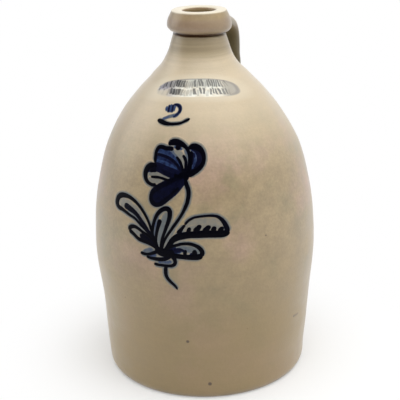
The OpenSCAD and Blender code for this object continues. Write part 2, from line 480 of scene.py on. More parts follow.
def oval_ticks(tree, where, along, up):
    """Rows of pressed ticks, each a little askew and more or less worn."""
    marks = 0.0
    for middle, count, tall_share in TICK_ROWS:
        sway = times(tree, clouds(tree, where, TICK_SWAY_SCALE, 2), 2.4)
        place = maths(tree, "MULTIPLY_ADD", along, count / 2, sway)
        chance = add_node(tree, "ShaderNodeTexWhiteNoise", noise_dimensions="1D",
                          inputs={"W": maths(tree, "FLOOR", place)}).outputs["Value"]
        bob = maths(tree, "MULTIPLY_ADD", chance, 0.3, middle - 0.15)
        rise = maths(tree, "DIVIDE", maths(tree, "SUBTRACT", up, bob), tall_share)
        askew = times(tree, maths(tree, "SUBTRACT", chance, 0.5), rise, 0.5)
        offset = maths(tree, "SUBTRACT", maths(tree, "ADD", maths(tree, "FRACT", place), askew), 0.5)
        beat = times(tree, maths(tree, "ABSOLUTE", offset), stretched(tree, along, -0.4, 0.3, 2.0, 2.9))
        shape = maths(tree, "MAXIMUM", beat, maths(tree, "ABSOLUTE", rise))
        wear = stretched(tree, chance, 0.0, 0.7, 0.35, 1.0)
        marks = maths(tree, "MAXIMUM", marks, times(tree, risen(tree, shape, 1.1, 0.7), wear))
    return marks


def press_oval(tree, color):
    """Presses the oval into a colour on the shoulder, and gives the ticks in it too."""
    where = object_place(tree)
    x, y, z = across_back_up(tree, where)
    # Share of the way to the oval's ends, and to its upper and lower edge
    turned = maths(tree, "ARCTAN2", x, times(tree, y, -1.0))
    along = maths(tree, "DIVIDE", maths(tree, "SUBTRACT", turned, OVAL_TURN), OVAL_HALF_TURN)
    level = maths(tree, "ADD", z, times(tree, along, along, OVAL_ARCH))
    up = maths(tree, "DIVIDE", maths(tree, "SUBTRACT", level, OVAL_HIGH), OVAL_HALF)
    oval = maths(tree, "ADD", maths(tree, "POWER", maths(tree, "ABSOLUTE", along), 3.5),
                 maths(tree, "POWER", maths(tree, "ABSOLUTE", up), 2.6))
    worn = times(tree, risen(tree, along, -0.58, -0.72), risen(tree, up, 0.1, -0.3))
    inside = times(tree, risen(tree, oval, 1.1, 0.75), maths(tree, "MULTIPLY_ADD", worn, -0.8, 1.0))
    frosty = stretched(tree, clouds(tree, where, FROST_SCALE), 0.35, 0.65, 0.45, 1.0)

    color = tinted(tree, color, OVAL_HALO, risen(tree, oval, 4.0, 1.0), 0.35)
    color = tinted(tree, color, OVAL_FROST, times(tree, inside, frosty), 0.85)
    color = tinted(tree, color, OVAL_END, times(tree, risen(tree, along, 0.5, 0.75), inside), 0.85)
    color = tinted(tree, color, OVAL_SMOKE, times(tree, risen(tree, along, -0.3, -0.9), inside), 0.88)
    edge = between(tree, oval, 0.62, 0.86, 0.96, 1.16)
    right_rim = times(tree, risen(tree, along, 0.45, 0.95), 0.7)
    upper_rim = times(tree, risen(tree, up, 0.5, 0.9), 0.75)
    color = tinted(tree, color, OVAL_RIM, edge, maths(tree, "MAXIMUM", right_rim, upper_rim))
    grey = times(tree, between(tree, along, -0.35, -0.1, 0.45, 0.65), inside, risen(tree, up, 0.0, 0.3))
    color = tinted(tree, color, OVAL_GREY, grey, 0.7)
    marks = times(tree, oval_ticks(tree, where, along, up), inside, risen(tree, along, 0.8, 0.62))
    ink = blended(tree, stretched(tree, along, -0.5, 0.2), TICK_DARK, TICK_FAINT)
    return tinted(tree, color, ink, marks, 0.92), marks


def body_material():
    material, tree, shader, glaze = glaze_material("salt_glazed_body", BODY_CLAY, {})
    color, marks = press_oval(tree, glaze.outputs["Color"])
    z = across_back_up(tree, object_place(tree))[2]
    # Painted shade: the groove under the collar darkened to dark brown
    groove = stretched(tree, z, NECK_TOP + 0.6 * MM, NECK_TOP + 1.8 * MM)
    color = tinted(tree, color, GROOVE_SHADE, groove, 0.9)
    tree.links.new(color, shader.inputs["Base Color"])
    relief = maths(tree, "SUBTRACT", glaze.outputs["Height"], times(tree, marks, TICK_DEEP))
    connect_relief(tree, shader, relief, GLAZE_RELIEF)
    return material


def collar_material():
    material, tree, shader, glaze = glaze_material("salt_glazed_collar", SALT_GLAZE, glazed(CLAY, 0.5))
    z = across_back_up(tree, object_place(tree))[2]
    below_rim = times(tree, maths(tree, "SUBTRACT", JUG_TOP, z), 1 / MM)
    above_groove = times(tree, maths(tree, "SUBTRACT", z, COLLAR_LOW), 1 / MM)
    olive = between(tree, below_rim, 1, 2.5, 5, 9)
    brown = times(tree, risen(tree, above_groove, 0, 5), risen(tree, below_rim, 4, 8))
    color = tinted(tree, glaze.outputs["Color"], OLIVE, olive, 0.5)
    color = tinted(tree, color, COLLAR_BROWN, brown, 0.6)
    # Painted shade: darker towards the collar's lower edge, on its underside
    color = tinted(tree, color, COLLAR_UNDERSIDE_SHADE, risen(tree, above_groove, 3, 0.2), 0.7)
    # Painted highlight: paler towards the top of the rim
    color = tinted(tree, color, RIM_HIGHLIGHT, risen(tree, below_rim, 1.5, 0.4), 0.85)
    tree.links.new(color, shader.inputs["Base Color"])
    connect_relief(tree, shader, glaze.outputs["Height"], GLAZE_RELIEF)
    return material


# Heights in mm between which the strap's inner side turns from olive glaze with painted shade to clay
STRAP_OLIVE_SHADE_HIGH, STRAP_CLAY_LOW = 318, 342


def handle_material():
    # The handle's clay is painted darker than the body's: painted shade
    material, tree, shader, glaze = glaze_material("salt_glazed_handle", SALT_GLAZE, glazed(HANDLE_SHADED_CLAY, 0.7))
    z = across_back_up(tree, object_place(tree))[2]
    # Olive glaze and painted shade on the strap's inner side, below the neck
    low = times(tree, risen(tree, z, STRAP_CLAY_LOW * MM, STRAP_OLIVE_SHADE_HIGH * MM), painted(tree, "inner"))
    color = tinted(tree, glaze.outputs["Color"], STRAP_OLIVE_AND_SHADE, low, 0.92)
    tree.links.new(color, shader.inputs["Base Color"])
    connect_relief(tree, shader, glaze.outputs["Height"], STRAP_RELIEF)
    return material


# Brown slip poured inside, which runs down the wall
SLIP_DARK = shade(58, 36, 22)
SLIP_BROWN = shade(96, 62, 38)
RUN_SCALES = (60, 60, 14)
SHEEN_SCALE = 90
LINING_SCALE = 300


def slip_material():
    material, tree, shader = new_material("brown_slip")
    where = object_place(tree)
    runs = stretched(tree, streaks(tree, where, RUN_SCALES), 0.35, 0.65)
    tree.links.new(blended(tree, runs, SLIP_DARK, SLIP_BROWN), shader.inputs["Base Color"])
    sheen = stretched(tree, clouds(tree, where, SHEEN_SCALE), 0.3, 0.7, 0.2, 0.34)
    tree.links.new(sheen, shader.inputs["Roughness"])
    connect_relief(tree, shader, clouds(tree, where, LINING_SCALE, 2), LINING_RELIEF)
    return material


# Cobalt slip from thick to thin: from and to which thinness each colour comes in
COBALT_THICKEST = shade(1, 1, 8)
COBALT_TONES = ((0.0, 0.25, shade(12, 15, 42)), (0.25, 0.5, shade(42, 60, 97)),
                (0.5, 0.74, shade(92, 98, 100)), (0.74, 0.9, shade(122, 118, 107)))
BRUSH_SCALE = 260


def cobalt_material():
    """Cobalt slip under the glaze: near black where thick, blue, then grey where it thins to bare clay."""
    material, tree, shader = new_material("cobalt_slip")
    clay = add_node(tree, "ShaderNodeGroup", node_tree=BODY_CLAY)
    thin = painted(tree, "thin")
    swing = times(tree, thin, maths(tree, "SUBTRACT", 1.0, thin), 2.4)
    brushed = maths(tree, "SUBTRACT", clouds(tree, object_place(tree), BRUSH_SCALE, 3, 0.6), 0.5)
    uneven = maths(tree, "MULTIPLY_ADD", brushed, swing, thin)
    color = COBALT_THICKEST
    for start, full, tone in COBALT_TONES:
        color = blended(tree, stretched(tree, uneven, start, full), color, tone)
    color = blended(tree, stretched(tree, uneven, 0.88, 1.0), color, clay.outputs["Color"])
    tree.links.new(color, shader.inputs["Base Color"])
    tree.links.new(clay.outputs["Roughness"], shader.inputs["Roughness"])
    tree.links.new(stretched(tree, thin, 0.3, 1.0, 0.06, 0.5), shader.inputs["Specular IOR Level"])
    tree.links.new(stretched(tree, thin, 0.3, 1.0, 0.0, COAT), shader.inputs["Coat Weight"])
    shader.inputs["Coat Roughness"].default_value = COAT_ROUGHNESS
    connect_relief(tree, shader, clay.outputs["Height"], GLAZE_RELIEF)
    return material


# Body and collar

# The core inside the collar: its wall, and how far its top lies below the rim
CORE_WALL = 6 * MM
CORE_DEEP = 1.5 * MM
CORE_LIP = 0.2 * MM
# The groove: how far it runs up under the collar, and the steps down into its upper edge
GROOVE_UNDER = 1 * MM
EDGE_IN, EDGE_UP = 0.1 * MM, 1.2 * MM
FILLET_OUT, FILLET_UP = 0.25 * MM, 1.7 * MM
GROOVE_START = 2.2 * MM
HEEL_HIGH = 12 * MM
FOOT_BEVEL = 1 * MM
HOLLOW_CLEAR = 4 * MM
HEEL_ROWS, WALL_STEPS, HOLLOW_STEPS, BODY_ROUNDS = 12, 150, 110, 288
# The collar's skin: what it takes in of its underside, and how it rolls over into the mouth
UNDERSIDE_IN, UNDERSIDE_LOW, UNDERSIDE_EDGE = 5.5 * MM, 0.6 * MM, 1.2 * MM
EDGE_LOW, SIDE_LOW = 0.1 * MM, 0.5 * MM
LIP_ROUND = 3 * MM
SKIN_DEEP, SKIN_END, SKIN_THICK = 9 * MM, 10 * MM, 1.5 * MM
COLLAR_STEPS, LIP_STEPS, COLLAR_ROUNDS = 48, 10, 256


def throw_body():
    """The thrown body: foot, heel, wall, groove, the core inside the collar, and the hollow."""
    foot_low, foot_r = WALL_ROWS[0]
    groove_r = along_rows(WALL_ROWS, COLLAR_LOW)
    core_r = MOUTH_R + CORE_WALL
    core_top = JUG_TOP - CORE_DEEP
    profile = [(0, 0), (foot_r / 2, 0), (foot_r - FOOT_BEVEL, 0)]
    profile += [(wall_r(z), z) for z in even(foot_low, HEEL_HIGH, HEEL_ROWS)]
    profile += [(wall_r(z), z) for z in even(HEEL_HIGH, NECK_TOP, WALL_STEPS)[1:]]
    profile += [(wall_r(NECK_TOP) - EDGE_IN, NECK_TOP + EDGE_UP),
                (groove_r + FILLET_OUT, NECK_TOP + FILLET_UP),
                (groove_r, NECK_TOP + GROOVE_START), (groove_r, COLLAR_LOW + GROOVE_UNDER),
                (core_r, COLLAR_LOW + GROOVE_UNDER), (core_r, core_top), (MOUTH_R + CORE_LIP, core_top)]
    hollow = [row for row in HOLLOW_ROWS if row[0] < core_top - HOLLOW_CLEAR]
    profile += [(along_rows(hollow, z), z) for z in even(hollow[-1][0], hollow[0][0], HOLLOW_STEPS)]
    profile.append((0, hollow[0][0]))
    return finish_piece("thrown_body", turn(profile, BODY_ROUNDS), body_material(),
                        "jug_body")


def tool_collar():
    """The tooled collar, whose upper skin runs over the core into the mouth."""
    profile = [(MOUTH_R + UNDERSIDE_IN, COLLAR_LOW + UNDERSIDE_LOW),
               (COLLAR_ROWS[0][1] - UNDERSIDE_EDGE, COLLAR_LOW + EDGE_LOW)]
    profile += [(along_rows(COLLAR_ROWS, z), z)
                for z in even(COLLAR_LOW + SIDE_LOW, COLLAR_ROWS[-1][0], COLLAR_STEPS)]
    profile += [(MOUTH_R + LIP_ROUND * (1 - math.sin(a)), JUG_TOP - LIP_ROUND * (1 - math.cos(a)))
                for a in even(0, math.pi / 2, LIP_STEPS)]
    profile += [(MOUTH_R, JUG_TOP - SKIN_DEEP), (MOUTH_R + SKIN_THICK, JUG_TOP - SKIN_END)]
    profile.append(profile[0])
    return finish_piece("tooled_collar", turn(profile, COLLAR_ROUNDS), collar_material(),
                        "neck_collar")


# Handle

# The strap's sizes in mm: furthest reach of its middle, drop from the rim to where it leaves
# the collar, height and sink of its foot, width, thickness, and length of the wiped tail
STRAP_REACH = 68
STRAP_DROP = 11.5
STRAP_FOOT = 271
STRAP_SINK = 2
STRAP_WIDE = 33
STRAP_THICK = 10.5
TAIL_LONG = 19
# Shares of the way out, the way down, the width, the thickness and the curve round the jug:
# from the neck out to the reach, and from the foot out to the reach
ARCH_SHARES = ((-0.1, 0, 1.3, 1.15, 1), (0.12, 0.015, 1.24, 1.12, 1), (0.46, 0.06, 1.08, 1.04, 0.4),
               (0.77, 0.14, 1, 1, 0), (0.94, 0.27, 0.97, 1, 0), (1, 0.45, 0.95, 1, 0))
LANDING_SHARES = ((0.73, 0.66, 0.95, 1, 0), (0.2, 0.83, 1.04, 1.02, 0.3), (0, 0.95, 1.22, 1.02, 0.8))
# Shares of the tail's length, the width and the thickness
TAIL_SHARES = ((0.2, 1.34, 0.92), (0.5, 1.24, 0.7), (0.8, 0.9, 0.46), (1, 0.4, 0.22))
STRAP_SQUARENESS = 2.7
FLUTE_DEEP = 1.3
FLUTE_WIDE = 9.0
STRAP_STEPS, STRAP_SIDES = 120, 56
# Share of the strap over which its direction is taken
COURSE_SHARE = 0.004


def curve_at(stations, share):
    """Values on a smooth curve through stations, at a share of the way along them."""
    place = share * (len(stations) - 1)
    i = min(int(place), len(stations) - 2)
    t = place - i
    before, a, b, after = (stations[min(max(k, 0), len(stations) - 1)] for k in (i - 1, i, i + 1, i + 2))
    return [0.5 * (2 * q + (r - p) * t + (2 * p - 5 * q + 4 * r - s) * t * t
                   + (3 * q - p - 3 * r + s) * t ** 3)
            for p, q, r, s in zip(before, a, b, after)]


def strap_line():
    """Stations of the strap in mm: way out from the axis, height, width, thickness, curve round the jug."""
    top = JUG_TOP / MM - STRAP_DROP
    line = []
    foot_out = wall_r(STRAP_FOOT * MM) / MM - STRAP_SINK
    for start, shares in ((wall_r(NECK_TOP) / MM, ARCH_SHARES), (foot_out, LANDING_SHARES)):
        line += [(start + out * (STRAP_REACH - start), top - down * (top - STRAP_FOOT), wide * STRAP_WIDE,
                  thick * STRAP_THICK, wrap) for out, down, wide, thick, wrap in shares]
    fall = TAIL_LONG / math.hypot(1, wall_tilt(STRAP_FOOT * MM))
    for share, wide, thick in TAIL_SHARES:
        height = STRAP_FOOT - share * fall
        line.append((wall_r(height * MM) / MM, height, wide * STRAP_WIDE, thick * STRAP_THICK, 1))
    return line


def pull_handle():
    """The pulled strap, laid from a sheet of cells: along it by round it."""
    line = strap_line()
    bm = bmesh.new()
    inner_layer = bm.verts.layers.float.new("inner")
    bmesh.ops.create_grid(bm, x_segments=STRAP_STEPS, y_segments=STRAP_SIDES, size=0.5)
    for vert in bm.verts:
        share, round_share = vert.co.x + 0.5, vert.co.y + 0.5
        out, height, width, thick, wrap = curve_at(line, share)
        ahead = curve_at(line, min(share + COURSE_SHARE, 1))
        behind = curve_at(line, max(share - COURSE_SHARE, 0))
        course = Vector((ahead[0] - behind[0], ahead[1] - behind[1])).normalized()
        angle = math.tau * round_share
        side = width / 2 * math.copysign(abs(math.cos(angle)) ** (2 / STRAP_SQUARENESS), math.cos(angle))
        proud = thick / 2 * math.copysign(abs(math.sin(angle)) ** (2 / STRAP_SQUARENESS), math.sin(angle))
        if math.sin(angle) > 0:
            proud -= thick / STRAP_THICK * FLUTE_DEEP * math.exp(-(2 * side / FLUTE_WIDE) ** 2)
        wrap = min(max(wrap, 0), 1)
        reach = out - course.y * proud
        turned = side / out
        vert.co = Vector(((1 - wrap) * side + wrap * reach * math.sin(turned),
                          (1 - wrap) * reach + wrap * reach * math.cos(turned),
                          height + course.x * proud)) * MM
        vert[inner_layer] = smooth_share(-math.sin(angle), -0.6, 0.1)
    close_up(bm)
    return finish_piece("pulled_handle", bm, handle_material(), "strap_handle")


# The flower's strokes on the front, in mm: way right of the middle, height, width. The
# last number of each stroke says how thin its slip is, from 0 to 1.
FLOWER_STROKES = (
    # Top petal: dark cap with a run below it, right edge, and two veins
    (((1.5, 247.6, 3), (3.4, 250, 4.6), (7.4, 250.6, 5.4), (11.4, 249.8, 5), (15.2, 248.4, 3.6),
      (18.4, 246, 2.8), (20.6, 242.8, 2.6), (22, 239, 2.6), (22.6, 234.5, 2.8), (22.3, 229.5, 3),
      (21, 224, 3.4)), 0.0),
    (((8, 247.6, 4), (11, 246.2, 4.6), (12.6, 244.4, 3.2)), 0.0),
    (((9.8, 239, 1.6), (12.2, 237.2, 2.2), (14.4, 234.4, 2.4), (16.2, 231.2, 2.4), (18, 226, 2.6)), 0.02),
    (((15.6, 240.6, 1.8), (18, 237.9, 2.5), (19.4, 235, 2.6), (19.7, 231.5, 2.4), (19.6, 226, 2.4)),
      0.02),
    # Right petal
    (((20.4, 245, 3), (21.8, 247.2, 4.4), (24.8, 247.4, 5.2), (28, 246.4, 4.8), (31, 244.2, 4),
      (33.2, 241, 3.4), (34.2, 237.4, 3.2), (33.9, 233.8, 3.6), (32.2, 230.6, 4.2), (29.4, 228, 4.6),
      (26, 225.8, 5), (22, 223.6, 5)), 0.0),
    (((22.6, 244, 2.6), (23.6, 239, 2.8), (23.8, 234, 2.8), (23.4, 229, 3), (21.5, 224, 3.4)), 0.0),
    # Upper left petal: edge and veins
    (((-9.3, 232.4, 2.8), (-9.7, 236.6, 3), (-9.7, 240.8, 3.1), (-8.9, 243.6, 3.2), (-7.4, 245.6, 3.2),
      (-4, 245.8, 3.4), (-0.4, 245, 3.4), (3.6, 245.2, 3.6), (7, 244.6, 3.2)), 0.0),
    (((-8.6, 239.8, 2), (-3, 239, 2.6), (3, 237.6, 2.6), (8.4, 235, 2.4), (13, 231, 2.6), (17, 226, 3)),
      0.1),
    (((-9, 231.6, 3.4), (-3.6, 230.8, 3.4), (2.4, 229, 3.6), (9, 227, 4), (16, 224.5, 5)), 0.15),
    # Lower left petal: edge, thick shoulder, inner line
    (((-8.6, 229.6, 4.6), (-12.6, 229.6, 5.4), (-15.8, 227.8, 5.4), (-17.6, 225, 5), (-18.2, 221.6, 4.6),
      (-17.5, 218.2, 4), (-15.6, 215.6, 3.4), (-12.8, 214.1, 3), (-9.6, 213.2, 2.9), (-6, 214, 3.4)),
      0.0),
    (((-11, 229.6, 4.6), (-8.6, 230.6, 5), (-6, 231, 4)), 0.02),
    (((-14.6, 225, 4), (-11, 226.4, 4.6), (-6, 226.6, 4.2)), 0.04),
    (((-9, 227.6, 4.2), (-4.4, 227, 4.6), (0.4, 225.4, 4.8), (5.4, 223.8, 5), (11, 222.6, 5.4)), 0.12),
    (((-12.6, 220, 1.6), (-8, 220.3, 2.4), (-4, 220.4, 2.2), (0, 219.8, 2.2), (4.4, 218.8, 2.4),
      (9, 217.6, 3)), 0.0),
    # Where the petals meet
    (((9, 223, 6), (14, 222.4, 8.4), (19, 222.4, 9), (24, 223.6, 5.4)), 0.0),
    (((18.6, 227.6, 2.6), (20, 224, 5)), 0.0),
    # Lower petal, filled
    (((21.4, 221, 6), (17.4, 219, 9.2), (13.6, 216.2, 12), (9.2, 212.8, 15), (3.6, 209.4, 17.4),
      (-1.6, 205.6, 18), (-6, 201.8, 17.2), (-10.4, 198.4, 10)), 0.13),
    (((20, 222, 4), (12, 219.8, 6), (4, 215.4, 7), (-3, 211.6, 7), (-8, 207.6, 6.4), (-10.2, 203, 5),
      (-9.6, 199, 5), (-6, 196.8, 5), (-0.6, 198.4, 5.4), (5.4, 203.4, 5.4), (10.6, 208.6, 5),
      (16, 214, 5)), 0.05),
    # Stem
    (((19.5, 221, 4), (21.2, 217.4, 3.6), (22.8, 214, 3.6), (24.1, 210.6, 3.6), (24.4, 206.8, 3.5),
      (24.1, 203.2, 3.4), (23.6, 200, 3.3), (22.4, 196.6, 3.1), (20.9, 192.8, 2.7), (19.2, 189.4, 2.5),
      (17.3, 186, 2.4), (15.5, 183.2, 2.5), (13.2, 179.8, 2.6), (10.6, 175.8, 2.6), (7.9, 171.6, 2.5),
      (5.6, 168, 2.4), (3.8, 164.4, 2.4), (2.3, 160, 2.4), (1.2, 154, 2.6)), 0.0),
    # Long leaf on the left: edge and vein
    (((-42, 185.4, 3.2), (-46, 186, 3.8), (-48.7, 187.8, 4.6), (-49.7, 190.4, 5), (-49.1, 193.5, 5),
      (-47.1, 196.3, 4.8), (-43.7, 198.1, 4.6), (-39.2, 198.7, 4.2), (-34.9, 198.4, 3.5),
      (-31.2, 197.4, 3.3), (-28, 196, 3), (-25.2, 194.4, 2.8), (-22.5, 192.5, 2.7), (-20.2, 190.5, 2.7),
      (-17.7, 187.8, 2.6), (-15.6, 185.2, 2.5), (-13.8, 182.6, 2.5), (-12.3, 180, 2.5), (-11, 177.6, 2.5),
      (-9.8, 174.6, 2.5), (-8.7, 171.8, 2.6), (-7.6, 168.6, 2.6), (-6.2, 164.8, 2.6), (-4.6, 161, 2.6),
      (-2.4, 156.6, 2.6)), 0.0),
    (((-46.4, 187, 3.4), (-42, 185.6, 3.4), (-38.7, 184.6, 3), (-35.8, 183.5, 2.8), (-32.8, 182.4, 2.5),
      (-29.2, 181.5, 2.4), (-26, 180.1, 2.4), (-23.4, 178.3, 2.4), (-21, 176.4, 2.5), (-18, 174.4, 2.6),
      (-15.2, 172.4, 2.6), (-12.3, 170, 2.6), (-9, 167.2, 2.6), (-6.2, 164.2, 2.6), (-3, 159, 2.6)),
      0.03),
    (((-40.4, 190.6, 4.2), (-38, 189.8, 5.8), (-34.4, 188.8, 5.6), (-30.8, 187.6, 5), (-27.4, 186, 4.4),
      (-24.6, 184.2, 4), (-22, 181.9, 3.8), (-19.8, 179.6, 3.8), (-17.4, 177.2, 3.8), (-14.8, 174.6, 3.4),
      (-12.6, 171.9, 3), (-10, 169.2, 2.8), (-6.4, 165, 2.8)), 0.06),
    # Short leaf on the left: edge, lower side, and its filled root
    (((-32.4, 168, 3.4), (-33, 170.4, 4), (-31, 172.2, 3.8), (-27.4, 173, 3.4), (-24.2, 172.4, 3),
      (-21.2, 171.1, 2.8), (-18.2, 169.5, 2.8), (-15, 168.2, 2.8), (-12.4, 167, 2.8), (-9.4, 165.3, 2.8),
      (-6.6, 163, 2.8), (-4, 160, 2.8), (-1.6, 156, 2.8)), 0.0),
    (((-32.8, 169.4, 3.6), (-32, 167.8, 3.8), (-29.4, 166.7, 3.6), (-26.4, 164.9, 3.4), (-24, 163.1, 3.4),
      (-21, 161.8, 3.4), (-17.6, 161.3, 3.4), (-14.2, 160.8, 3.4), (-10.8, 160, 3.2), (-7.6, 158.8, 3.2),
      (-4.4, 157.2, 3.2), (-1, 155, 3.4)), 0.0),
    (((-21.4, 167.2, 2.6), (-18.4, 165.4, 5.4), (-14, 163.8, 5.6), (-9.6, 161.8, 5), (-5, 158.6, 4.4),
      (-1, 155.4, 4)), 0.06),
    # Middle leaf: edge and inner line
    (((-2, 155, 2.8), (-4.8, 160, 2.8), (-6.6, 164, 2.8), (-7.7, 168, 2.8), (-8, 172, 2.9),
      (-7.6, 176, 2.9), (-6.9, 179.6, 3), (-5.9, 182.8, 3.1), (-4.6, 186, 3.2), (-3, 188.8, 3.6),
      (-0.8, 191.2, 3.8), (2, 193.2, 4), (5, 193.9, 4.3), (7.6, 192.8, 4.4), (8.4, 189.8, 4.5),
      (8.1, 185.6, 4), (6.9, 181.2, 3.6), (5.5, 177.2, 3.2), (4.2, 173.2, 2.9), (2.8, 169.2, 2.7),
      (1.6, 165.4, 2.6), (0.8, 160, 2.6), (0.4, 155, 2.6)), 0.0),
    (((-0.4, 184, 3.2), (-0.9, 182.2, 4.3), (-1.5, 180, 4), (-2.4, 177, 3.5), (-3.2, 173.5, 3.1),
      (-3.9, 170, 2.9), (-4.3, 166.6, 2.8), (-4.4, 163.2, 2.8), (-3.4, 158.8, 2.8), (-1.8, 155, 2.4)),
      0.0),
    # Toothed leaf on the right: edge, filled lower side, teeth
    (((22.2, 180.4, 2.2), (23.6, 182.2, 2.2), (25.6, 184.3, 2.2), (28.2, 186.1, 2.1), (31.2, 187.3, 2),
      (34.9, 187.9, 2), (38.7, 188.3, 2), (42.4, 188.5, 2.1), (46, 188.3, 2.2), (48.9, 187.6, 2.4),
      (51.2, 186.2, 2.7), (53, 184.4, 3), (54.6, 182.2, 3.3), (55.9, 179.8, 3.6), (57, 177.2, 3.8),
      (57.7, 174.6, 3.8), (57.4, 172.2, 3.8)), 0.04),
    (((3.6, 153, 4), (6.8, 158.2, 4.4), (9.4, 162.4, 4.8), (12, 166, 5.4), (16, 168.8, 6.2),
      (21, 170.4, 6.4), (27, 171.4, 6), (35, 172, 6.6), (43, 172.1, 6.6), (50, 171.7, 6.4),
      (55.2, 171.6, 6.2), (59.8, 172.8, 4)), 0.0),
    (((22.8, 180.6, 1.8), (20.8, 178, 2.6), (18.6, 175, 3.4), (16, 171.6, 4.4)), 0.02),
    (((26.6, 178.6, 2.8), (26.3, 176.4, 3.4), (25.3, 172.4, 4.2)), 0.0),
    (((36, 180.8, 3.1), (35, 178.8, 4), (33, 176.4, 5), (31, 173.4, 5.8)), 0.0),
    (((43.6, 180.2, 3.1), (42.6, 178.2, 4.2), (40.8, 176, 5.2), (38.8, 173.2, 5.8)), 0.0),
    (((47.7, 179.2, 3.1), (47.2, 177, 4.1), (46.2, 173.6, 5)), 0.0),
    (((53.8, 178.4, 2.9), (53, 176.2, 3.9), (51.2, 173, 5.2)), 0.0),
    # Low leaf on the right: edge, lower side, teeth
    (((2, 153.6, 3), (6.6, 157.4, 2.8), (11, 159.8, 2.7), (15.6, 161.4, 2.6), (19.7, 162.7, 2.6),
      (23.7, 163.2, 2.7), (27.7, 163, 2.9), (30.9, 162.1, 3.1), (33.8, 160.7, 3.3), (36.1, 158.8, 3.5),
      (37.7, 156.3, 3.7), (37.9, 153.6, 3.9), (36.6, 151.6, 4.2)), 0.0),
    (((12, 156.2, 2.6), (16, 157.4, 2.8), (20, 157.2, 2.6), (23.6, 155, 2.4)), 0.14),
    (((2, 151.8, 5), (8, 151.6, 5), (15, 151.3, 4.8), (22, 150.7, 4.2), (28, 150.6, 4.8), (34, 151, 5.6),
      (38.6, 151.8, 4.6)), 0.0),
    (((23.6, 157.8, 2.6), (23.3, 156, 3), (22.7, 151.6, 3.4)), 0.0),
    (((31.4, 158, 3), (31.4, 156, 3.9), (31.6, 152.4, 6)), 0.0),
    # Crown, curls and root
    (((-5, 157, 5), (-1, 154, 7), (4, 153.2, 8), (9, 153.8, 7.4), (14, 154.2, 5)), 0.03),
    (((-20.9, 149.7, 2.4), (-19.4, 149.6, 3), (-15.4, 149.2, 2.8), (-11, 149.9, 2.8), (-6.8, 151.8, 3.2),
      (-2, 154, 3.6)), 0.03),
    (((-14.6, 147, 2.2), (-9.8, 146.5, 2.8), (-5, 146.3, 3.4), (-0.4, 146.4, 3.8), (3.8, 147.2, 3.8),
      (7.4, 149, 3.8), (10, 151, 4)), 0.03),
    (((-6.8, 141.7, 1.8), (-4.6, 141.2, 2.6), (-1.4, 141, 2.5), (2.4, 141, 2.5), (7, 141, 2.7),
      (11, 141.5, 3), (13.7, 143.3, 3.2), (14.2, 146, 3.3), (13, 148.8, 3.6), (10.4, 151, 4)), 0.03),
    (((5.8, 141.2, 3), (5.1, 138.8, 3.3), (4.9, 135.6, 3.5), (5, 132.6, 3.4), (5.9, 130, 3.1),
      (7.6, 127.5, 3), (10, 124.9, 2.7), (12.6, 122.6, 2.4), (14.5, 120.2, 2), (15.4, 117.8, 1.2)), 0.03),
)

